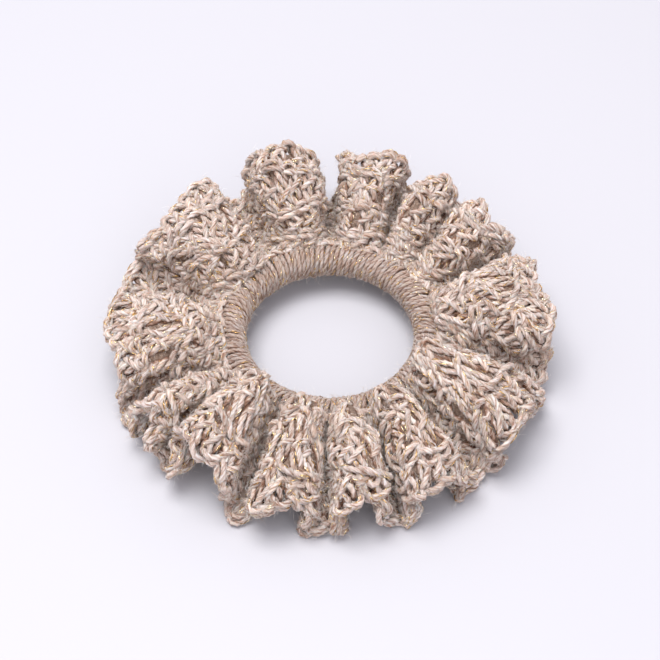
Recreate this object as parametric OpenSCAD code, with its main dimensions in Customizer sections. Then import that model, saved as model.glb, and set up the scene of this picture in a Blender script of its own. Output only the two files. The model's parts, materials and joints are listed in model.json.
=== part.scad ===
// Crocheted hair scrunchie: a covered elastic inside a crocheted collar, with a gathered ruffle
// worked around it. Millimetres, +Z up. The origin is the centre of the ring in the elastic's
// mid-plane, and +Z runs along the hair opening. Every solid is drawn relaxed and lying flat.

/* [Collar] */
// Radius of the hair opening at the collar's inner land
opening_r = 20.5; // [19.5:0.5:22]
// Radius of the collar's round section
collar_r = 4; // [3.8:0.1:4.2]
// Height of the flat land that faces the hair
land_h = 2.4; // [2:0.2:2.8]

/* [Elastic] */
// Radius of the rubber core
core_r = 1.5; // [1.2:0.1:1.5]
// Wall of the braided sleeve on the core
braid_t = 0.45; // [0.3:0.05:0.45]
// Wall of the glued sleeve that closes the elastic into a ring
joint_t = 0.35; // [0.2:0.05:0.35]
// Length of the glued sleeve
joint_len = 9; // [6:1:12]
// Direction of the glued sleeve, seen from above
joint_azimuth = 205; // [190:1:230]

/* [Ruffle] */
// Length of the crochet from the collar to the rim
ruffle_w = 24.5; // [22:0.5:26]
// Thickness of the crochet
fabric_t = 2.2; // [2:0.1:2.2]
// Depth of the resting plane below the mid-plane
rest_depth = 8.5; // [8:0.5:9.5]
// Steepest angle of the rim's folds
rim_curl = 104; // [80:1:104]
// Steepest angle of the folds where they leave the collar
root_curl = 35; // [20:1:40]
// Share by which the upper loops are wider than the lower ones
crest_share = 0.3; // [0:0.05:0.3]

/* [Hidden] */
$fn = 96;
// Running clearance between the layers of the elastic
layer_gap = 0.05;
// Clearance of the elastic in the collar's tunnel
tunnel_gap = 0.15;
// Gap between solids that are cut from one fabric
cut_gap = 0.3;
// Centre line of the elastic, from the land's chord in the collar's section
ring_r = opening_r + sqrt(collar_r ^ 2 - (land_h / 2) ^ 2);
braid_in = core_r + layer_gap;
braid_out = braid_in + braid_t;
joint_in = braid_out + layer_gap;
joint_out = joint_in + joint_t;
tunnel_r = joint_out + tunnel_gap;
ruffle_r = ring_r + collar_r + cut_gap;
// Lowest height of the fabric's middle
lowest = fabric_t / 2 - rest_depth;

// One row per fold: azimuth of the trough before it, azimuth of its crest, height of its crest's
// arch, length of its crest as a share of ruffle_w, degrees that its rim leans sideways, how far the
// arch goes over (1 ends level at the rim, less is still rising there, more comes down again), how
// square its top is (1 is round), and how far the rim of the trough before it curls up. The last row
// is the first one again, a full turn later.
folds = [
  [-91, -82, 10.0, 0.98, 0, 1.8, 1.0, 0],
  [-73, -62, 11.0, 0.98, -1, 1.85, 1.2, 0],
  [-50, -34, 13.5, 1.02, 2, 1.75, 1.6, 0],
  [-18, 6, 12.5, 1.03, 0, 1.4, 1.7, 4],
  [28, 38, 13.0, 0.99, -2, 0.9, 1.0, 4],
  [47, 55, 12.0, 0.94, 1, 1.0, 1.0, 0],
  [63, 77, 17.0, 1.05, 1, 0.75, 1.6, 6],
  [90, 104, 18.0, 1.07, 0, 0.75, 1.8, 2],
  [119, 142, 14.0, 1.00, -1, 1.15, 1.8, 8],
  [165, 187, 11.0, 1.03, 0, 1.5, 1.7, 10],
  [207, 214, 9.0, 0.97, 1, 1.4, 1.0, 0],
  [221, 233, 13.0, 0.99, 3, 1.5, 1.4, 4],
  [247, 258, 10.5, 0.97, -1, 1.85, 1.2, 0],
  [269, 278, 10.0, 0.98, 0, 1.8, 1.0, 0]
];
fold_count = len(folds) - 1;
// How soon the folds reach their steepest angle along a rib
curl_power = 0.4;
// How far the lower loops are pressed flat
pressed = 0.8;
// Steps along half a fold and along a rib from the collar to the rim
half_steps = 8;
rib_steps = 6;

fold_names = [for (k = [1 : fold_count]) str("ruffle_fold_", k < 10 ? "0" : "", k)];
ring_names = ["elastic_core", "elastic_braid", "elastic_joint", "held_collar", "pulled_collar"];

function lerp(a, b, t) = a + (b - a) * t;

// Running sums of a list, starting from zero
function sums(list) = [
  for (i = 0, total = 0; i <= len(list); total = total + (i < len(list) ? list[i] : 0), i = i + 1)
    total
];

// The same sums as shares of their total
function shares(list) = let (run = sums(list)) [for (x = run) x / run[len(run) - 1]];

// Steepest angle of the fabric at rib position v, which is 0 at the collar and 1 at the rim
function curl(v) = lerp(root_curl, rim_curl, v ^ curl_power);

// Middles of the steps along half a fold, from the trough (0) to the crest (1)
mid_steps = [for (i = [0.5 : half_steps]) i / half_steps];

// Height and sideways progress along half a fold: a meander whose direction follows a power of a sine
function slope(u, v, square_top) = curl(v) * sin(180 * u) ^ square_top;
function height_shares(v, square_top) = shares([for (u = mid_steps) sin(slope(u, v, square_top))]);
function side_shares(v, square_top) =
  shares([for (u = mid_steps) (1 - crest_share * cos(180 * u)) * cos(slope(u, v, square_top))]);

// Middle of the fabric at rib position v: side and height shares of one step, for the half fold
// between a trough's azimuth and the crest of the given row. The trough's rim is lifted by lift.
function fabric_point(trough, lift, row, side, height, v) =
  let (
    crest = row[1] + row[4] * v,
    azimuth = lerp(trough, crest, side),
    length = v * ruffle_w * lerp(1, row[3], height),
    dip = (rest_depth + pressed) * v - lift * v ^ 4,
    z = max(lowest, lerp(-dip, row[2] * sin(90 * row[5] * v), height)),
    sideways = ruffle_r * PI / 180 * (azimuth - lerp(trough, crest, height)) / 2,
    r = ruffle_r + sqrt(max(0, length ^ 2 - z ^ 2 - sideways ^ 2))
  )
  [r * cos(azimuth), r * sin(azimuth), z];

// The rib position v of one fold, from its first trough over its crest to the next trough
function rib_row(k, v) =
  let (
    row = folds[k],
    next = folds[k + 1],
    sides = side_shares(v, row[6]),
    heights = height_shares(v, row[6])
  )
  concat(
    [for (i = [0 : half_steps]) fabric_point(row[0], row[7], row, sides[i], heights[i], v)],
    [for (i = [half_steps - 1 : -1 : 0]) fabric_point(next[0], next[7], row, sides[i], heights[i], v)]
  );

// Unit normal of a grid of points at row j and column i, pointing up at the crests. The first row
// stands upright, so that it stays clear of the collar.
function grid_normal(grid, j, i) =
  j == 0 ? [0, 0, 1] : let (
    along = grid[j][min(i + 1, 2 * half_steps)] - grid[j][max(i - 1, 0)],
    outward = grid[min(j + 1, rib_steps)][i] - grid[max(j - 1, 0)][i],
    normal = cross(outward, along)
  )
  normal / norm(normal);

// A point held inside one fold's sector, half the cut's gap away from each side of it
function in_sector(p, first, last) =
  let (
    r = norm([p.x, p.y]),
    middle = (first + last) / 2,
    most = (last - first) / 2 - asin(cut_gap / 2 / r),
    turned = atan2(p.y * cos(middle) - p.x * sin(middle), p.x * cos(middle) + p.y * sin(middle)),
    azimuth = middle + max(-most, min(most, turned))
  )
  [r * cos(azimuth), r * sin(azimuth), p.z];

// The grid of fold k moved along its normals, inside its sector. What is pressed flat below lies
// on the resting plane.
function shifted(grid, k, distance) = [
  for (j = [0 : rib_steps], i = [0 : 2 * half_steps])
    let (
      p = in_sector(grid[j][i] + distance * grid_normal(grid, j, i), folds[k][0], folds[k + 1][0]),
      pressed_flat = distance < 0 && grid[j][i].z <= lowest
    )
    [p.x, p.y, pressed_flat ? -rest_depth : max(p.z, -rest_depth)]
];

// Two triangles for each step from one list of point numbers to the next one
function strip(a, b) = [
  for (i = [0 : len(a) - 2], half = [0, 1])
    half == 0 ? [a[i], a[i + 1], b[i]] : [a[i + 1], b[i + 1], b[i]]
];

// Closed solid of the fabric of fold k, as thick on each side of its grid of middle points
module fabric(k) {
  grid = [for (j = [0 : rib_steps]) rib_row(k, j / rib_steps)];
  columns = 2 * half_steps + 1;
  count = columns * (rib_steps + 1);
  upper = [for (j = [0 : rib_steps]) [for (i = [0 : columns - 1]) j * columns + i]];
  lower = [for (row = upper) [for (n = row) n + count]];
  points = concat(shifted(grid, k, fabric_t / 2), shifted(grid, k, -fabric_t / 2));
  faces = concat(
    [for (j = [0 : rib_steps - 1]) each strip(upper[j], upper[j + 1])],
    [for (j = [0 : rib_steps - 1]) each strip(lower[j + 1], lower[j])],
    strip([for (row = upper) row[0]], [for (row = lower) row[0]]),
    strip([for (row = lower) row[columns - 1]], [for (row = upper) row[columns - 1]]),
    strip(lower[0], upper[0]),
    strip(upper[rib_steps], lower[rib_steps])
  );
  polyhedron(points, faces, convexity = 6);
}

// Rubber cord of the elastic
module elastic_core() {
  color("dimgray")
    rotate_extrude()
      translate([ring_r, 0]) circle(r = core_r);
}

// Woven sleeve that covers the cord
module elastic_braid() {
  color("peru")
    rotate_extrude()
      translate([ring_r, 0]) difference() {
        circle(r = braid_out);
        circle(r = braid_in);
      }
}

// Short glued sleeve over the cord's two ends
module elastic_joint() {
  arc = joint_len / ring_r * 180 / PI;
  color("saddlebrown")
    rotate(joint_azimuth - arc / 2)
      rotate_extrude(angle = arc)
        translate([ring_r, 0]) difference() {
          circle(r = joint_out);
          circle(r = joint_in);
        }
}

// Half of the crocheted tube around the elastic, starting at the given azimuth
module collar_half(start) {
  cut = cut_gap / 2 / ring_r * 180 / PI;
  color("tan")
    rotate(start + cut)
      rotate_extrude(angle = 180 - 2 * cut)
        difference() {
          intersection() {
            translate([ring_r, 0]) circle(r = collar_r);
            translate([opening_r, -collar_r]) square([2 * collar_r, 2 * collar_r]);
          }
          translate([ring_r, 0]) circle(r = tunnel_r);
        }
}

// Half of the collar that is held still while the ring is stretched
module held_collar() {
  collar_half(90);
}

// Half of the collar that is pulled along +X
module pulled_collar() {
  collar_half(-90);
}

// One fold of the ruffle, from trough to trough
module ruffle_fold(k) {
  color(k % 2 == 0 ? "wheat" : "burlywood")
    fabric(k);
}

elastic_core();
elastic_braid();
elastic_joint();
held_collar();
pulled_collar();
for (k = [0 : fold_count - 1])
  ruffle_fold(k);
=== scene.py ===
"""Crocheted hair scrunchie: every strand of yarn, the gold filament in it and the elastic inside.

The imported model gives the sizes. The ruffle is a gathered surface, and the stitches are swept strands
placed on it. Lengths are in millimetres until a mesh is made, because yarn is measured that way.
"""
import json
import math

import bpy
import numpy as np
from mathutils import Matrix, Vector


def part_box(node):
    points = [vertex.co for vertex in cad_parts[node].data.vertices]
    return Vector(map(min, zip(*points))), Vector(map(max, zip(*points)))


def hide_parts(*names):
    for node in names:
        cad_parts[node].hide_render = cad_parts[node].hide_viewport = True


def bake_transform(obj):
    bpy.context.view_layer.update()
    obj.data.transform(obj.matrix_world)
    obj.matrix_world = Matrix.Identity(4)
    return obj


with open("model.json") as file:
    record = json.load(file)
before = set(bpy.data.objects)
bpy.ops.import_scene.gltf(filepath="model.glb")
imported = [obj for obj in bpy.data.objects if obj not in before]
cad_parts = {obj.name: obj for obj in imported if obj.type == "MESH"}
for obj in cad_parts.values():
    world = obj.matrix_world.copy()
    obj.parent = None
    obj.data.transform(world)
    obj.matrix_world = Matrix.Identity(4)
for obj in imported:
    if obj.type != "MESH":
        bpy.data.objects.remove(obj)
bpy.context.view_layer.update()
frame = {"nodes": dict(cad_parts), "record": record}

MM = 0.001
rng = np.random.default_rng(11)

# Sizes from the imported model
mounts = {m["name"]: m for m in frame["record"]["mounts"]}
OPENING_R = mounts["hair_opening"]["dims"]["r_mm"]
COLLAR_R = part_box("held_collar")[1].z / MM
RING_R = -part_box("held_collar")[0].x / MM - COLLAR_R
REST_Z = min(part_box(node)[0].z for node in frame["nodes"]) / MM
CORE_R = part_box("elastic_core")[1].z / MM
BRAID_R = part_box("elastic_braid")[1].z / MM
JOINT_LOW, JOINT_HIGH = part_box("elastic_joint")

# Yarn: radius, number of plies, length of a full turn of them, depth of the grooves between them as a
# share of the radius, and the distance between the rings of a strand's mesh
YARN_R = 0.76
PLIES = 3
PLY_TWIST = 7.0
PLY_RELIEF = 0.085
RING_STEP = 0.94

# Wraps of the collar: number, radius, the lift that sets the painted shade in the gaps between them,
# and how far one turn slants
WRAPS = 120
WRAP_R = 0.7
WRAP_SHADE_LIFT = 0.5
WRAP_SLANT = math.radians(8)

# Gold filament that surfaces here and there, and the loose fibres of the yarn. The filament's rings lie
# GOLD_STEP of a yarn ring apart.
GOLD_R = 0.14
GOLD_RINGS = 4
GOLD_STEP = 0.6
GOLD_PER_MM = 0.6
FUZZ_R = 0.023
FUZZ_PER_MM = 1.9

# Ruffle: length from the collar to the rim, radius at the collar, height of the middle surface over the
# floor where it rests, half thickness of the dark sheet painted as shade between the stitches, and the
# shape of the folds in degrees and shares
RUFFLE_W = 24.5
RUFFLE_R = RING_R + COLLAR_R - 0.3
FABRIC_HALF = 1.5
SHADE_SHEET_HALF = 0.25
RIM_CURL = 102
ROOT_CURL = 50
CREST_SHARE = 0.25
CURL_POWER = 0.4
PRESSED = 0.8
BULGE = 0.26
UNEVENNESS = 1.3
HALF_STEPS = 28
RIB_STEPS = 32

# One row per fold: azimuth of the trough before it, azimuth of its crest, height of its crest's arch,
# length of its crest as a share of RUFFLE_W, degrees that its rim leans, how far the arch goes over,
# how square its top is, and how far the rim of the trough before it curls up
FOLDS = (
    (-91, -82, 10.0, 0.98, 0, 1.8, 1.0, 0),
    (-73, -62, 11.0, 0.98, -1, 1.85, 1.2, 0),
    (-50, -34, 13.5, 1.02, 2, 1.75, 1.6, 0),
    (-18, 6, 12.5, 1.03, 0, 1.4, 1.7, 4),
    (28, 38, 13.0, 0.99, -2, 0.9, 1.0, 4),
    (47, 55, 12.0, 0.94, 1, 1.0, 1.0, 0),
    (63, 77, 17.0, 1.05, 1, 0.75, 1.6, 6),
    (90, 104, 18.0, 1.07, 0, 0.75, 1.8, 2),
    (119, 142, 14.0, 1.00, -1, 1.15, 1.8, 8),
    (165, 187, 11.0, 1.03, 0, 1.5, 1.7, 10),
    (207, 214, 9.0, 0.97, 1, 1.4, 1.0, 0),
    (221, 233, 13.0, 0.99, 3, 1.5, 1.4, 4),
    (247, 258, 10.5, 0.97, -1, 1.85, 1.2, 0),
    (269, 278, 10.0, 0.98, 0, 1.8, 1.0, 0),
)
FOLD_COUNT = len(FOLDS) - 1
HELD_FOLDS_FROM = [row[0] for row in FOLDS].index(90)

# Rounds of the ruffle: rib position of the stitch tops, and the pitch of the stitches. The first row
# is the collar's own edge.
ROWS = ((0.0, 3.2), (0.25, 3.9), (0.50, 4.0), (0.82, 4.25), (1.0, 4.1))


# ---------------------------------------------------------------- ruffle surface

def shares(values):
    """Running sums along the last axis as shares of the total, starting from zero."""
    run = np.cumsum(values, axis=-1)
    zero = np.zeros(values.shape[:-1] + (1,))
    return np.concatenate([zero, run], axis=-1) / run[..., -1:]


def half_fold(trough, row, v, side, height):
    """Middle of the fabric over half a fold from the trough of the given row, as [rib, step, 3]."""
    _, crest, arch, reach, lean, over, _, _ = row
    v = v[:, None]
    crest = crest + lean * v
    azimuth = trough[0] + (crest - trough[0]) * side
    length = v * RUFFLE_W * (1 + (reach - 1) * height)
    bottom = trough[7] * v ** 4 + (REST_Z - PRESSED) * v
    top = arch * np.sin(np.pi / 2 * over * v)
    z = np.maximum(REST_Z + FABRIC_HALF, bottom + (top - bottom) * height)
    sideways = RUFFLE_R * np.radians(azimuth - trough[0] - (crest - trough[0]) * height) / 2
    r = RUFFLE_R + np.sqrt(np.maximum(0, length ** 2 - z ** 2 - sideways ** 2))
    r = r - BULGE * max(arch - 9, 0) * np.sin(np.pi * v ** 0.7) * height ** 2
    angle = np.radians(azimuth)
    return np.stack([r * np.cos(angle), r * np.sin(angle), z], axis=-1)


def ruffle_surface():
    """Middle of the whole ruffle, [rib, step around, 3], closed around the ring."""
    v = np.linspace(0, 1, RIB_STEPS + 1)
    steps = (np.arange(HALF_STEPS) + 0.5) / HALF_STEPS
    steepest = np.radians(ROOT_CURL + (RIM_CURL - ROOT_CURL) * v[:, None] ** CURL_POWER)
    halves = []
    for row, following in zip(FOLDS, FOLDS[1:]):
        direction = steepest * np.sin(np.pi * steps) ** row[6]
        height = shares(np.sin(direction))
        side = shares((1 - CREST_SHARE * np.cos(np.pi * steps)) * np.cos(direction))
        halves.append(half_fold(row, row, v, side, height)[:, :-1])
        halves.append(half_fold(following, row, v, side, height)[:, :0:-1])
    return np.concatenate(halves, axis=1)


def wander(surface):
    """Adds the unevenness of handwork, which grows from the collar to the rim."""
    around = np.linspace(0, 2 * np.pi, surface.shape[1], endpoint=False)
    v = np.linspace(0, 1, surface.shape[0])[:, None]
    shift = np.zeros_like(surface)
    for waves, ribs, size in ((7, 2, 0.5), (17, 4, 0.8), (31, 7, 0.8), (53, 11, 0.75), (83, 15, 0.5)):
        for axis in range(3):
            phase, other = rng.uniform(0, 2 * np.pi, 2)
            swell = np.sin(waves * around + phase) * np.cos(ribs * v + other)
            shift[:, :, axis] += size * UNEVENNESS * swell * v ** 0.8
    moved = surface + shift
    moved[:, :, 2] = np.maximum(moved[:, :, 2], REST_Z + FABRIC_HALF)
    return moved


def unit(vectors):
    return vectors / np.maximum(np.linalg.norm(vectors, axis=-1, keepdims=True), 1e-9)


def around_gradient(field):
    return (np.roll(field, -1, axis=1) - np.roll(field, 1, axis=1)) / 2


def onto_collar(surface):
    """Starts the ruffle on the outer top of the tube, where its first stitches are worked."""
    v = np.linspace(0, 1, surface.shape[0])[:, None, None]
    near = np.clip(1 - v / 0.3, 0, 1) ** 2
    inward = -unit(surface * (1, 1, 0))
    return surface + near * (inward * 0.9 + np.array([0, 0, 1.9]))


surface = onto_collar(wander(ruffle_surface()))
AROUND = surface.shape[1]
row_vectors = around_gradient(surface) * AROUND / FOLD_COUNT
rib_vectors = np.gradient(surface, 1 / RIB_STEPS, axis=0)
row_rate = np.linalg.norm(row_vectors, axis=-1, keepdims=True)
rib_dirs = unit(rib_vectors)
normals = unit(np.cross(rib_vectors, row_vectors))


def sample(field, u, v):
    """The field at fold positions u (0 to FOLD_COUNT, periodic) and rib positions v (0 to 1)."""
    x = (u / FOLD_COUNT * AROUND) % AROUND
    y = np.clip(v, 0, 1) * RIB_STEPS
    i = np.floor(x).astype(int)
    j = np.minimum(np.floor(y).astype(int), RIB_STEPS - 1)
    fx, fy = (x - i)[..., None], (y - j)[..., None]
    i, after = i % AROUND, (i + 1) % AROUND
    low = field[j, i] * (1 - fx) + field[j, after] * fx
    high = field[j + 1, i] * (1 - fx) + field[j + 1, after] * fx
    return low * (1 - fy) + high * fy


def place(u, v, along, up, out):
    """Points near the ruffle at (u, v), moved along the row, up the rib and out of the fabric."""
    u, v, along, up, out = np.broadcast_arrays(u, v, along, up, out)
    u = u + along / np.maximum(sample(row_rate, u, v)[..., 0], 4)
    v = v + up / RUFFLE_W
    beyond = (v - np.clip(v, 0, 1)) * RUFFLE_W
    normal = unit(sample(normals, u, v))
    past_rim = beyond[..., None] * sample(rib_dirs, u, v)
    return sample(surface, u, v) + past_rim + out[..., None] * normal, normal


def even_row(v, pitch):
    """Fold positions of the stitches of the given pitch along the row at rib position v."""
    u = np.linspace(0, FOLD_COUNT, 4001)
    points = sample(surface, u, np.full(u.shape, v))
    length = np.concatenate([[0], np.cumsum(np.linalg.norm(np.diff(points, axis=0), axis=1))])
    count = round(length[-1] / pitch)
    wanted = (np.arange(count) + 0.5) / count * length[-1]
    return np.interp(wanted, length, u)


# ---------------------------------------------------------------- swept strands

def frames(paths, hints):
    """Tangent and two cross directions along each path, turning as little as the path allows."""
    tangents = unit(np.gradient(paths, axis=1))
    first = np.empty_like(paths)
    side = unit(hints[:, 0] - (hints[:, 0] * tangents[:, 0]).sum(-1, keepdims=True) * tangents[:, 0])
    for j in range(paths.shape[1]):
        t = tangents[:, j]
        side = unit(side - (side * t).sum(-1, keepdims=True) * t)
        first[:, j] = side
    return tangents, first, np.cross(tangents, first)


def even_steps(paths, hints, heights, step):
    """The same paths with rings at even distances of about step."""
    lengths = np.linalg.norm(np.diff(paths, axis=1), axis=2)
    run = np.concatenate([np.zeros((len(paths), 1)), np.cumsum(lengths, axis=1)], axis=1)
    rings = max(4, int(round(run[:, -1].mean() / step)) + 1)
    fields = np.concatenate([paths, hints, heights[..., None]], axis=2)
    even = np.empty((len(paths), rings, fields.shape[2]))
    for i in range(len(paths)):
        wanted = np.linspace(0, run[i, -1], rings)
        for axis in range(fields.shape[2]):
            even[i, :, axis] = np.interp(wanted, run[i], fields[i, :, axis])
    return even[..., :3], even[..., 3:6], even[..., 6]


class Strands:
    """Strands of one material gathered into one mesh."""

    def __init__(self):
        self.points, self.quads, self.caps = [], [], []
        self.coords, self.tints, self.grooves, self.crevice_shade_lifts = [], [], [], []
        self.count = 0

    def add(self, paths, hints, radius, sides, lobes=0, twist=0.0, relief=0.0, tint=None, heights=0.0,
            taper=True):
        """Sweeps a round or lobed section of the given radius along every path. The hints point out of
        the fabric, and the heights say how far the paths lie above its middle. The heights only set
        painted
        shade: the deeper a point lies in the fabric, the darker its colour."""
        n, m, _ = paths.shape
        _, first, second = frames(paths, hints)
        step = np.linalg.norm(np.diff(paths, axis=1), axis=2)
        run = np.concatenate([np.zeros((n, 1)), np.cumsum(step, axis=1)], axis=1)
        corner = 2 * np.pi * np.arange(sides) / sides
        turn = (run * (2 * np.pi / twist) if twist else np.zeros_like(run)) + rng.uniform(0, 6.28, (n, 1))
        angle = corner + turn[..., None]
        size = 1 + relief * np.cos(lobes * corner)
        radii = np.broadcast_to(radius, (n, m)).copy()
        if taper:
            radii[:, [0, -1]] *= 0.6
        ring = np.cos(angle)[..., None] * first[:, :, None] + np.sin(angle)[..., None] * second[:, :, None]
        points = paths[:, :, None] + ring * (radii[..., None] * size)[..., None]
        points[..., 2] = np.maximum(points[..., 2], REST_Z)
        index = self.count + np.arange(n * m * sides).reshape(n, m, sides)
        after = np.roll(index, -1, axis=2)
        quads = np.stack([index[:, :-1], after[:, :-1], after[:, 1:], index[:, 1:]], axis=-1)
        self.quads.append(quads.reshape(-1, 4))
        self.caps.append(index[:, 0, ::-1])
        self.caps.append(index[:, -1])
        self.points.append(points.reshape(-1, 3))
        offset = rng.uniform(0, 400, (n, 1, 1))
        coords = np.stack(np.broadcast_arrays(
            np.cos(corner) * YARN_R, np.sin(corner) * YARN_R, run[..., None] + offset), axis=-1)
        self.coords.append(coords.reshape(-1, 3))
        tint = rng.uniform(0, 1, n) if tint is None else tint
        self.tints.append(np.repeat(tint, m * sides))
        # Painted shade in the grooves between the plies: 0 in a groove, 1 on a ply's crest
        self.grooves.append(np.tile(np.cos(lobes * corner) / 2 + 0.5, n * m))
        # Painted shade: how deep each point lies, as its distance from the fabric's middle, which darkens
        # its colour
        outward = (ring * unit(hints)[:, :, None]).sum(-1) * radii[..., None]
        self.crevice_shade_lifts.append(np.abs(outward + np.broadcast_to(heights, (n, m))[..., None]).ravel())
        self.count += n * m * sides

    def build(self, name, material):
        points = np.concatenate(self.points) * MM
        faces = np.concatenate(self.quads).tolist()
        for cap in self.caps:
            faces.extend(cap.tolist())
        mesh = bpy.data.meshes.new(name)
        mesh.from_pydata(points, [], faces)
        mesh.attributes.new("yarn_place", "FLOAT_VECTOR", "POINT").data.foreach_set(
            "vector", np.concatenate(self.coords).astype(np.float32).ravel())
        for label, values in (("tint", self.tints), ("ply", self.grooves), ("lift", self.crevice_shade_lifts)):
            mesh.attributes.new("yarn_" + label, "FLOAT", "POINT").data.foreach_set(
                "value", np.concatenate(values).astype(np.float32))
        mesh.shade_smooth()
        mesh.materials.append(material)
        piece = bpy.data.objects.new(name, mesh)
        bpy.context.scene.collection.objects.link(piece)
        return piece


class Yarn:
    """Yarn strands of one piece, with the gold filament and the loose fibres that go with them."""

    def __init__(self):
        self.strands, self.gold, self.fibres = Strands(), Strands(), Strands()

    def add(self, paths, hints, heights, radius=YARN_R, tint=None):
        paths[..., 2] = np.maximum(paths[..., 2], REST_Z + radius)
        heights = np.broadcast_to(heights, paths.shape[:2])
        paths, hints, heights = even_steps(paths, hints, heights, RING_STEP)
        tint = rng.uniform(0.4, 1, len(paths)) if tint is None else tint
        self.strands.add(paths, hints, radius, 4 * PLIES, PLIES, PLY_TWIST, PLY_RELIEF, tint, heights)
        add_gold(self.gold, paths, hints, radius)
        add_fibres(self.fibres, paths, hints, radius)


def add_gold(gold, paths, hints, radius):
    """Short stretches of gold filament where it comes to the surface of these strands."""
    n, m, _ = paths.shape
    total = np.linalg.norm(np.diff(paths, axis=1), axis=2).sum()
    count = int(total * GOLD_PER_MM)
    which = rng.integers(0, n, count)
    start = rng.uniform(0, m - 1 - GOLD_RINGS * GOLD_STEP, count).clip(0)
    _, first, second = frames(paths, hints)
    angle0 = rng.uniform(0, 2 * np.pi, count)
    turn = rng.uniform(-0.55, 0.55, count)
    lift = rng.uniform(0.98, 1.12, count)
    points, out = [], []
    for j in range(GOLD_RINGS):
        x = np.minimum(start + j * GOLD_STEP, m - 1.001)
        i = np.floor(x).astype(int)
        f = (x - i)[:, None]
        centre = paths[which, i] * (1 - f) + paths[which, i + 1] * f
        a = angle0 + turn * j
        side = np.cos(a)[:, None] * first[which, i] + np.sin(a)[:, None] * second[which, i]
        dive = 1 - 0.22 * (2 * j / (GOLD_RINGS - 1) - 1) ** 2
        points.append(centre + side * (radius * dive * lift)[:, None])
        out.append(side)
    gold.add(np.stack(points, axis=1), np.stack(out, axis=1), GOLD_R, 3)


def add_fibres(fibres, paths, hints, radius):
    """Loose fibres that stand off the strands."""
    n, m, _ = paths.shape
    total = np.linalg.norm(np.diff(paths, axis=1), axis=2).sum()
    count = int(total * FUZZ_PER_MM)
    which, ring = rng.integers(0, n, count), rng.integers(0, m, count)
    tangents, first, second = frames(paths, hints)
    angle = rng.uniform(0, 2 * np.pi, count)
    side = np.cos(angle)[:, None] * first[which, ring] + np.sin(angle)[:, None] * second[which, ring]
    ahead = tangents[which, ring] * rng.choice([-1, 1], count)[:, None]
    cross = np.cross(ahead, side)
    length = rng.uniform(0.7, 2.4, count)[:, None]
    rise = rng.uniform(0.1, 0.8, count)[:, None]
    bend = rng.uniform(-0.9, 0.9, count)[:, None]
    points = []
    for t in (0.0, 0.5, 1.0):
        up = radius * 0.9 + length * rise * math.sin(t * 1.9)
        points.append(paths[which, ring] + side * up + (ahead * t + cross * bend * t * t) * length)
    fibres.add(np.stack(points, axis=1), np.stack([side] * len(points), axis=1), FUZZ_R, 3)


# ---------------------------------------------------------------- stitches

def post_strands(yarn, u_base, u_top, v_base, v_top):
    """Posts of one round: four strands that twist round each other from one row to the next."""
    n = len(u_base)
    s = np.linspace(-0.1, 1.03, 30)
    turns = -(v_top - v_base) * RUFFLE_W * rng.uniform(0.09, 0.13, (n, 1))
    phase = rng.uniform(0, 2 * np.pi, (n, 1))
    wide = rng.uniform(1.15, 1.4, (n, 1))
    thick = rng.uniform(0.7, 0.85, (n, 1))
    lean = rng.normal(0, 0.3, (n, 1))
    fill = 0.8 + 0.3 * np.sin(np.pi * np.clip(s, 0, 1))
    hook = -1.0 * np.exp(-((s + 0.1) / 0.09) ** 2)
    u = u_base[:, None] + (u_top - u_base)[:, None] * s
    v = v_base + (v_top - v_base) * s
    for k in range(4):
        angle = phase + 2 * np.pi * (turns * s + k / 4)
        height = thick * fill * np.sin(angle) + hook + 0.1
        points, normal = place(u, v, wide * fill * np.cos(angle) + lean * s, 0, height)
        yarn.add(points, normal, height, YARN_R * 0.97)
    a = np.linspace(0, 2 * np.pi, 18)
    middle = rng.uniform(0.35, 0.65, (n, 1))
    steep = rng.uniform(0.9, 1.8, (n, 1))
    height = (thick + 0.5) * np.sin(a) + 0.1
    points, normal = place(u_base[:, None] + (u_top - u_base)[:, None] * middle,
                           v_base + (v_top - v_base) * middle,
                           (wide + 0.45) * np.cos(a) + lean * middle,
                           -steep * np.cos(a) + rng.normal(0, 0.15, (n, 1)) * np.sin(a), height)
    yarn.add(points, normal, height, YARN_R * 0.95)


def chain_loops(yarn, u, v, pitch, width, tilt, out, bare=0.0):
    """The braid of stitch tops: each loop comes up through the one before it. Loops on an edge, where
    nothing hides them, get lighter painted shade, as if they lay higher by bare."""
    n = len(u)
    s = np.linspace(0.02, 0.98, 36)
    size = rng.uniform(0.88, 1.12, (n, 1))
    skew = rng.normal(0, 0.14, (n, 1))
    x = pitch * (1.27 * np.sin(np.pi * s) - 0.42) * rng.uniform(0.94, 1.06, (n, 1))
    y = width * np.cos(np.pi * s) * (0.4 + 0.95 * np.sin(np.pi * s)) * size + skew * x
    h = 0.8 * (1.6 * np.sin(2 * np.pi * s) ** 2 - 0.8) + rng.normal(0, 0.15, (n, 1))
    cos_t, sin_t = math.cos(tilt), math.sin(tilt)
    height = y * sin_t + h * cos_t + out
    points, normal = place(u[:, None], np.full((n, 1), v), x, y * cos_t - h * sin_t, height)
    yarn.add(points, normal, np.abs(height) + bare)


def nearest_base(u_top, u_base):
    """For each upper stitch, a place near the lower stitch that it is worked into."""
    ring = np.concatenate([u_base - FOLD_COUNT, u_base, u_base + FOLD_COUNT])
    found = ring[np.abs(u_top[:, None] - ring[None]).argmin(axis=1)]
    return found + 0.45 * (u_top - found)


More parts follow.
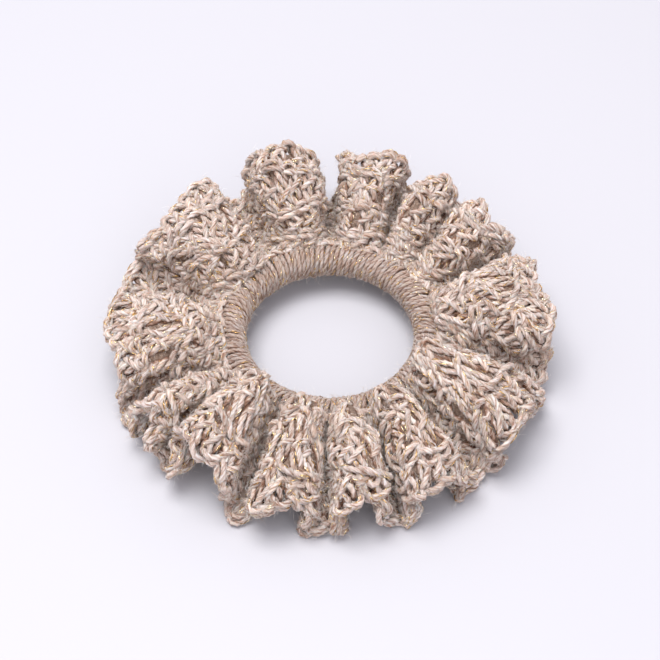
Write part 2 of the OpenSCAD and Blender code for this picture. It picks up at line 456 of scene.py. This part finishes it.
def collar_wraps(yarn):
    """Single crochet around the elastic: close strands that slant over the tube."""
    start = (np.arange(WRAPS) + rng.normal(0, 0.045, WRAPS)) / WRAPS * 2 * np.pi
    psi = np.radians(np.linspace(-25, 335, 60))
    tube = COLLAR_R - WRAP_R
    slant = WRAP_SLANT + rng.normal(0, 0.035, (WRAPS, 1))
    azimuth = start[:, None] + slant * (psi - psi[0] - np.pi) / (2 * np.pi)
    bulge = rng.normal(0, 0.09, (WRAPS, 1))
    r = RING_R + (tube + bulge) * np.cos(psi)
    r = np.maximum(r, OPENING_R + WRAP_R * 0.9)
    z = (tube + bulge) * np.sin(psi)
    points = np.stack([r * np.cos(azimuth), r * np.sin(azimuth), z + 0 * r], axis=-1)
    centre = np.stack([RING_R * np.cos(azimuth), RING_R * np.sin(azimuth), 0 * azimuth], axis=-1)
    # Painted shade: the wraps get a low shade lift, so the gaps between them darken, and only the dark end
    # of the per-strand tone range, which darkens the whole collar as the shade between tight wraps
    yarn.add(points, unit(points - centre), WRAP_SHADE_LIFT, WRAP_R, rng.uniform(0, 0.25, WRAPS))


def side_of(u, held):
    """Which of the fold positions lie on the held side of the ring, or on the pulled side."""
    return (u % FOLD_COUNT >= HELD_FOLDS_FROM) == held


def mesh_piece(name, points, faces, material):
    """A smooth piece from points in millimetres."""
    mesh = bpy.data.meshes.new(name)
    mesh.from_pydata(points * MM, [], faces)
    mesh.shade_smooth()
    mesh.materials.append(material)
    piece = bpy.data.objects.new(name, mesh)
    bpy.context.scene.collection.objects.link(piece)
    return piece


def wrapped_quads(rows, columns, first=0, wrap_rows=False):
    """Quads of a grid of point numbers whose columns close into a ring."""
    index = first + np.arange(rows * columns).reshape(rows, columns)
    lower, upper = (index, np.roll(index, -1, axis=0)) if wrap_rows else (index[:-1], index[1:])
    quads = np.stack([lower, np.roll(lower, -1, axis=1), np.roll(upper, -1, axis=1), upper], axis=-1)
    return quads.reshape(-1, 4)


def ruffle_shade_sheet(material):
    """The thin closed sheet that stands for the inner strands, coloured dark brown as painted shade
    between the stitches.
    """
    first, last = 1, RIB_STEPS - 2
    middle, normal = surface[first:last], normals[first:last]
    upper = middle + normal * SHADE_SHEET_HALF
    lower = (middle - normal * SHADE_SHEET_HALF)[::-1]
    rows = np.concatenate([upper, lower])
    faces = wrapped_quads(len(rows), AROUND, wrap_rows=True)
    return mesh_piece("ruffle_shade_sheet", rows.reshape(-1, 3), faces.tolist(), material)


def crochet():
    """All yarn pieces by name."""
    pieces = {"collar_wraps": Yarn()}
    collar_wraps(pieces["collar_wraps"])
    rows = [(v, pitch, even_row(v, pitch)) for v, pitch in ROWS]
    for held, label in ((True, "held"), (False, "pulled")):
        for k in range(1, len(rows)):
            v_base, _, u_row = rows[k - 1]
            v_top, pitch, u_top = rows[k]
            mine = u_top[side_of(u_top, held)]
            rim = k == len(rows) - 1
            yarn = pieces[f"ruffle_round_{k}_{label}"] = Yarn()
            post_strands(yarn, nearest_base(mine, u_row), mine, v_base, v_top - (0.02 if rim else 0))
            if rim:
                chain_loops(yarn, mine, v_top, pitch, 1.15, math.radians(-65), 0.1, bare=1.2)
            else:
                chain_loops(yarn, mine, v_top, pitch, 1.1, math.radians(-25), 0.8)
            if k == 1:
                edge = u_row[side_of(u_row, held)]
                chain_loops(yarn, edge, 0, rows[0][1], 1.2, math.radians(-40), 0.5)
    return pieces


# ---------------------------------------------------------------- elastic inside the collar

JOINT_AZIMUTH = math.atan2(JOINT_LOW.y + JOINT_HIGH.y, JOINT_LOW.x + JOINT_HIGH.x)
JOINT_LENGTH = 9.0
JOINT_SPAN = JOINT_LENGTH / RING_R
SLEEVE_WALL = 0.35
BRAID_STRANDS = 8
BRAID_TURNS = 14
BRAID_STRAND_R = 0.17
WEAVE_DEPTH = 0.11
CORE_RINGS = 300
CORE_RIBS = 12


def ring_points(azimuth, r, z):
    return np.stack([r * np.cos(azimuth), r * np.sin(azimuth), z], axis=-1)


def round_tube(azimuth, offset, roll):
    """Points at a distance from the elastic's centre line, in the direction roll around it."""
    return ring_points(azimuth, RING_R + offset * np.cos(roll), offset * np.sin(roll))


def elastic_core():
    """Rubber cord whose two ends meet under the glued sleeve, with the fine ribs of its moulding."""
    azimuth = JOINT_AZIMUTH + np.linspace(0.003, 2 * np.pi - 0.003, CORE_RINGS)
    path = ring_points(azimuth, np.full(CORE_RINGS, RING_R), np.zeros(CORE_RINGS))
    hints = ring_points(azimuth, np.ones(CORE_RINGS), np.zeros(CORE_RINGS))
    radius = (CORE_R - 0.06) * (1 + 0.012 * np.sin(np.arange(CORE_RINGS) * 2.2))
    core = Strands()
    core.add(path[None], hints[None], radius, 2 * CORE_RIBS, CORE_RIBS, relief=0.02, taper=False)
    return core


def elastic_braid():
    """Flat yarns that cross over and under each other around the cord, half of them each way."""
    steps = 620
    t = np.linspace(0.004, 1 - 0.004, steps)
    azimuth = JOINT_AZIMUTH + 2 * np.pi * t
    braid = Strands()
    for way in (1, -1):
        start = 2 * np.pi * np.arange(BRAID_STRANDS)[:, None] / BRAID_STRANDS
        roll = start + way * 2 * np.pi * BRAID_TURNS * t
        weave = np.sin(BRAID_STRANDS * (way * start + 2 * np.pi * BRAID_TURNS * t) + way * np.pi / 2)
        offset = (CORE_R + BRAID_R) / 2 + 0.05 + WEAVE_DEPTH * weave
        azimuths = np.broadcast_to(azimuth, roll.shape)
        points = round_tube(azimuths, offset, roll)
        centre = ring_points(azimuths, np.full(roll.shape, RING_R), np.zeros(roll.shape))
        braid.add(points, unit(points - centre), BRAID_STRAND_R, 8, 4, twist=2.4, relief=0.12)
    return braid


def joint_sleeve(material):
    """Shrunk sleeve glued over the cord's ends, with two pressed grooves and rolled-in edges."""
    along = np.linspace(-1, 1, 41)
    groove = 0.12 * (np.exp(-((along - 0.45) / 0.09) ** 2) + np.exp(-((along + 0.45) / 0.09) ** 2))
    edge = 0.16 * along ** 12
    outer = BRAID_R + SLEEVE_WALL - groove - edge
    inner = np.full(len(along), BRAID_R + 0.03)
    profile = np.concatenate([outer, inner[::-1]])
    azimuth = JOINT_AZIMUTH + JOINT_SPAN / 2 * np.concatenate([along, along[::-1]])
    roll = np.linspace(0, 2 * np.pi, 32, endpoint=False)
    points = round_tube(*np.broadcast_arrays(azimuth[:, None], profile[:, None], roll))
    faces = wrapped_quads(len(profile), len(roll), wrap_rows=True)
    return mesh_piece("elastic_glued_sleeve", points.reshape(-1, 3), faces.tolist(), material)


# ---------------------------------------------------------------- materials

def node_material(name):
    material = bpy.data.materials.new(name)
    material.use_nodes = True
    tree = material.node_tree
    tree.nodes.clear()
    output = tree.nodes.new("ShaderNodeOutputMaterial")
    shader = tree.nodes.new("ShaderNodeBsdfPrincipled")
    tree.links.new(shader.outputs["BSDF"], output.inputs["Surface"])
    return material, tree, shader


def attribute(tree, name):
    node = tree.nodes.new("ShaderNodeAttribute")
    node.attribute_name = name
    return node


def scaled(tree, vector, scale):
    node = tree.nodes.new("ShaderNodeVectorMath")
    node.operation = "MULTIPLY"
    tree.links.new(vector, node.inputs[0])
    node.inputs[1].default_value = scale
    return node.outputs["Vector"]


def noise(tree, vector, scale, detail=3.0, rough=0.6):
    node = tree.nodes.new("ShaderNodeTexNoise")
    node.inputs["Scale"].default_value = scale
    node.inputs["Detail"].default_value = detail
    node.inputs["Roughness"].default_value = rough
    tree.links.new(vector, node.inputs["Vector"])
    return node.outputs["Fac"]


def ramp(tree, fac, stops):
    node = tree.nodes.new("ShaderNodeValToRGB")
    tree.links.new(fac, node.inputs["Fac"])
    elements = node.color_ramp.elements
    while len(elements) < len(stops):
        elements.new(0.5)
    for element, (position, colour) in zip(elements, stops):
        element.position = position
        element.color = (*colour, 1)
    return node.outputs["Color"]


def grey(value):
    return (value, value, value)


def object_noise(tree, scale, detail, rough):
    """Noise that is fixed to the piece, with the scale in waves per metre."""
    texture = tree.nodes.new("ShaderNodeTexCoord")
    return noise(tree, scaled(tree, texture.outputs["Object"], grey(scale)), 1.0, detail, rough)


def mixed(tree, fac, a, b, blend="MIX"):
    node = tree.nodes.new("ShaderNodeMix")
    node.data_type = "RGBA"
    node.blend_type = blend
    for socket, value in ((node.inputs[0], fac), (node.inputs[6], a), (node.inputs[7], b)):
        if isinstance(value, bpy.types.NodeSocket):
            tree.links.new(value, socket)
        elif isinstance(value, (int, float)):
            socket.default_value = value
        else:
            socket.default_value = (*value, 1)
    return node.outputs[2]


def add_bump(tree, shader, height, strength, distance):
    bump = tree.nodes.new("ShaderNodeBump")
    bump.inputs["Strength"].default_value = strength
    bump.inputs["Distance"].default_value = distance
    tree.links.new(height, bump.inputs["Height"])
    tree.links.new(bump.outputs["Normal"], shader.inputs["Normal"])


def yarn_material():
    material, tree, shader = node_material("beige_yarn")
    place_on = attribute(tree, "yarn_place").outputs["Vector"]
    tint = attribute(tree, "yarn_tint").outputs["Fac"]
    streaks = noise(tree, scaled(tree, place_on, (1.7, 1.7, 0.42)), 1.0, 4.0, 0.72)
    patches = noise(tree, scaled(tree, place_on, (0.4, 0.4, 0.22)), 1.0, 2.0, 0.5)
    fibres = noise(tree, scaled(tree, place_on, (9.0, 9.0, 1.3)), 1.5, 3.0, 0.7)
    base = ramp(tree, streaks, [
        (0.30, (0.17, 0.09, 0.06)),
        (0.41, (0.47, 0.33, 0.27)),
        (0.52, (0.76, 0.665, 0.625)),
        (0.66, (0.90, 0.865, 0.855)),
    ])
    # Painted shade: the grooves between the plies are darkened in colour
    grooves = ramp(tree, attribute(tree, "yarn_ply").outputs["Fac"], [
        (0.0, (0.56, 0.43, 0.355)),
        (0.45, grey(1.0)),
    ])
    base = mixed(tree, patches, base, mixed(tree, 1.0, base, grooves, "MULTIPLY"))
    # Painted shade: colour darkens by how deep each point lies in the fabric, so crevices and gaps between
    # stitches look shaded
    depth = ramp(tree, attribute(tree, "yarn_lift").outputs["Fac"], [
        (0.2, (0.16, 0.078, 0.048)),
        (0.75, (0.56, 0.425, 0.355)),
        (1.0, grey(1.0)),
    ])
    base = mixed(tree, 1.0, base, depth, "MULTIPLY")
    pale = ramp(tree, tint, [(0.0, (0.55, 0.51, 0.49)), (1.0, grey(0.96))])
    warm = ramp(tree, patches, [(0.35, (1.0, 0.93, 0.85)), (0.65, grey(1.0))])
    colour = mixed(tree, 1.0, mixed(tree, 1.0, base, pale, "MULTIPLY"), warm, "MULTIPLY")
    tree.links.new(colour, shader.inputs["Base Color"])
    add_bump(tree, shader, fibres, 0.75, 0.00016)
    rough = ramp(tree, streaks, [(0.3, grey(1.0)), (0.7, grey(0.84))])
    tree.links.new(rough, shader.inputs["Roughness"])
    shader.inputs["Subsurface Weight"].default_value = 0.3
    shader.inputs["Subsurface Radius"].default_value = (1.0, 0.5, 0.35)
    shader.inputs["Subsurface Scale"].default_value = 0.0007
    shader.inputs["Sheen Weight"].default_value = 0.3
    shader.inputs["Sheen Roughness"].default_value = 0.45
    shader.inputs["Sheen Tint"].default_value = (1.0, 0.9, 0.8, 1)
    shader.inputs["Specular IOR Level"].default_value = 0.12
    return material


def gold_material():
    material, tree, shader = node_material("gold_filament")
    tint = attribute(tree, "yarn_tint").outputs["Fac"]
    colour = ramp(tree, tint, [
        (0.0, (0.42, 0.24, 0.09)),
        (0.5, (0.85, 0.58, 0.26)),
        (1.0, (1.0, 0.88, 0.62)),
    ])
    tree.links.new(colour, shader.inputs["Base Color"])
    grain = noise(tree, scaled(tree, attribute(tree, "yarn_place").outputs["Vector"], (1, 1, 4)), 2.0)
    rough = ramp(tree, grain, [(0.3, grey(0.14)), (0.7, grey(0.34))])
    tree.links.new(rough, shader.inputs["Roughness"])
    shader.inputs["Metallic"].default_value = 1.0
    return material


def fibre_material():
    material, tree, shader = node_material("loose_fibres")
    tint = attribute(tree, "yarn_tint").outputs["Fac"]
    colour = ramp(tree, tint, [
        (0.0, (0.62, 0.50, 0.42)),
        (0.5, (0.85, 0.77, 0.71)),
        (1.0, (0.96, 0.93, 0.91)),
    ])
    tree.links.new(colour, shader.inputs["Base Color"])
    shader.inputs["Roughness"].default_value = 0.9
    return material


def shade_sheet_material():
    material, tree, shader = node_material("shade_between_stitches")
    # Dark brown: painted shade seen between the stitches, with a grain
    grain = object_noise(tree, 1500, 4.0, 0.7)
    colour = ramp(tree, grain, [(0.35, (0.10, 0.06, 0.042)), (0.65, (0.32, 0.225, 0.17))])
    tree.links.new(colour, shader.inputs["Base Color"])
    add_bump(tree, shader, grain, 0.6, 0.0003)
    shader.inputs["Roughness"].default_value = 0.95
    return material


def rubber_material():
    material, tree, shader = node_material("rubber")
    dust = object_noise(tree, 900, 5.0, 0.7)
    colour = ramp(tree, dust, [(0.4, (0.018, 0.016, 0.015)), (0.7, (0.075, 0.068, 0.062))])
    tree.links.new(colour, shader.inputs["Base Color"])
    rough = ramp(tree, dust, [(0.3, grey(0.42)), (0.7, grey(0.68))])
    tree.links.new(rough, shader.inputs["Roughness"])
    add_bump(tree, shader, dust, 0.3, 0.00005)
    return material


def braid_material():
    material, tree, shader = node_material("braided_polyester")
    along = attribute(tree, "yarn_place").outputs["Vector"]
    fibres = noise(tree, scaled(tree, along, (14, 14, 1.2)), 1.6, 3.0, 0.6)
    colour = ramp(tree, fibres, [(0.32, (0.20, 0.135, 0.09)), (0.68, (0.47, 0.36, 0.265))])
    tree.links.new(colour, shader.inputs["Base Color"])
    rough = ramp(tree, fibres, [(0.3, grey(0.7)), (0.7, grey(0.5))])
    tree.links.new(rough, shader.inputs["Roughness"])
    add_bump(tree, shader, fibres, 0.5, 0.00006)
    shader.inputs["Sheen Weight"].default_value = 0.2
    return material


def sleeve_material():
    material, tree, shader = node_material("shrink_sleeve")
    mottle = object_noise(tree, 600, 4.0, 0.6)
    colour = ramp(tree, mottle, [(0.35, (0.075, 0.045, 0.028)), (0.65, (0.13, 0.085, 0.055))])
    tree.links.new(colour, shader.inputs["Base Color"])
    rough = ramp(tree, mottle, [(0.3, grey(0.3)), (0.7, grey(0.46))])
    tree.links.new(rough, shader.inputs["Roughness"])
    add_bump(tree, shader, mottle, 0.25, 0.00005)
    return material


# ---------------------------------------------------------------- build

def stretch(piece, slot, *nodes):
    """Bakes the piece's placement into its mesh and hides the CAD nodes that it stands for."""
    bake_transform(piece)
    if nodes:
        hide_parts(*nodes)


def folds_on(body):
    nodes = frame["record"]["behaviour"]["bodies"][body]
    return [node for node in nodes if node.startswith("ruffle_fold")]


def build():
    yarn_finish, gold_finish, fibre_finish = yarn_material(), gold_material(), fibre_material()
    for name, yarn in crochet().items():
        piece = yarn.strands.build(name, yarn_finish)
        if name == "collar_wraps":
            stretch(piece, "crochet_yarn", "held_collar", "pulled_collar")
        else:
            body = "held_side" if name.endswith("held") else "pulled_side"
            stretch(piece, "crochet_yarn", *folds_on(body))
        stretch(yarn.gold.build(name + "_gold", gold_finish), "crochet_yarn")
        stretch(yarn.fibres.build(name + "_fibres", fibre_finish), "crochet_yarn")
    shade_sheet = ruffle_shade_sheet(shade_sheet_material())
    stretch(shade_sheet, "crochet_yarn")
    core = elastic_core().build("elastic_rubber_cord", rubber_material())
    stretch(core, "rubber_core", "elastic_core")
    braid = elastic_braid().build("elastic_woven_braid", braid_material())
    stretch(braid, "braided_sleeve", "elastic_braid")
    stretch(joint_sleeve(sleeve_material()), "joint_sleeve", "elastic_joint")


build()


# ---------------------------------------------------------------- stage

def floor_material():
    material, _, shader = node_material("pale_floor")
    shader.inputs["Base Color"].default_value = (0.52, 0.512, 0.545, 1)
    shader.inputs["Roughness"].default_value = 0.6
    return material


def stage():
    bpy.ops.mesh.primitive_plane_add(size=4, location=(0, 0, REST_Z * MM))
    floor = bpy.context.object
    floor.name = "floor"
    floor.data.materials.append(floor_material())
    world = bpy.data.worlds.new("studio")
    world.use_nodes = True
    world.node_tree.nodes["Background"].inputs["Color"].default_value = (0.95, 0.93, 1.0, 1)
    world.node_tree.nodes["Background"].inputs["Strength"].default_value = 0.76
    bpy.context.scene.world = world


def area_light(name, place_m, size, power, colour=(1, 1, 1)):
    light = bpy.data.lights.new(name, "AREA")
    light.energy = power
    light.size = size
    light.color = colour
    lamp = bpy.data.objects.new(name, light)
    bpy.context.scene.collection.objects.link(lamp)
    lamp.location = place_m
    lamp.rotation_euler = (-Vector(place_m)).to_track_quat("-Z", "Y").to_euler()


def camera():
    elevation = math.radians(50.5)
    distance = 0.382
    rise = 0.001
    data = bpy.data.cameras.new("camera")
    data.lens = 85
    data.sensor_width = 36
    eye = bpy.data.objects.new("camera", data)
    bpy.context.scene.collection.objects.link(eye)
    up = np.array([0, math.sin(elevation), math.cos(elevation)])
    back = np.array([0, -math.cos(elevation), math.sin(elevation)])
    eye.location = distance * back + rise * up
    eye.rotation_euler = (math.pi / 2 - elevation, 0, 0)
    bpy.context.scene.camera = eye


stage()
area_light("key", (-0.16, 0.03, 0.93), 0.6, 9.8)
area_light("fill", (0.15, -0.7, 0.6), 0.7, 1.8)
camera()
bpy.context.scene.view_settings.view_transform = "Standard"
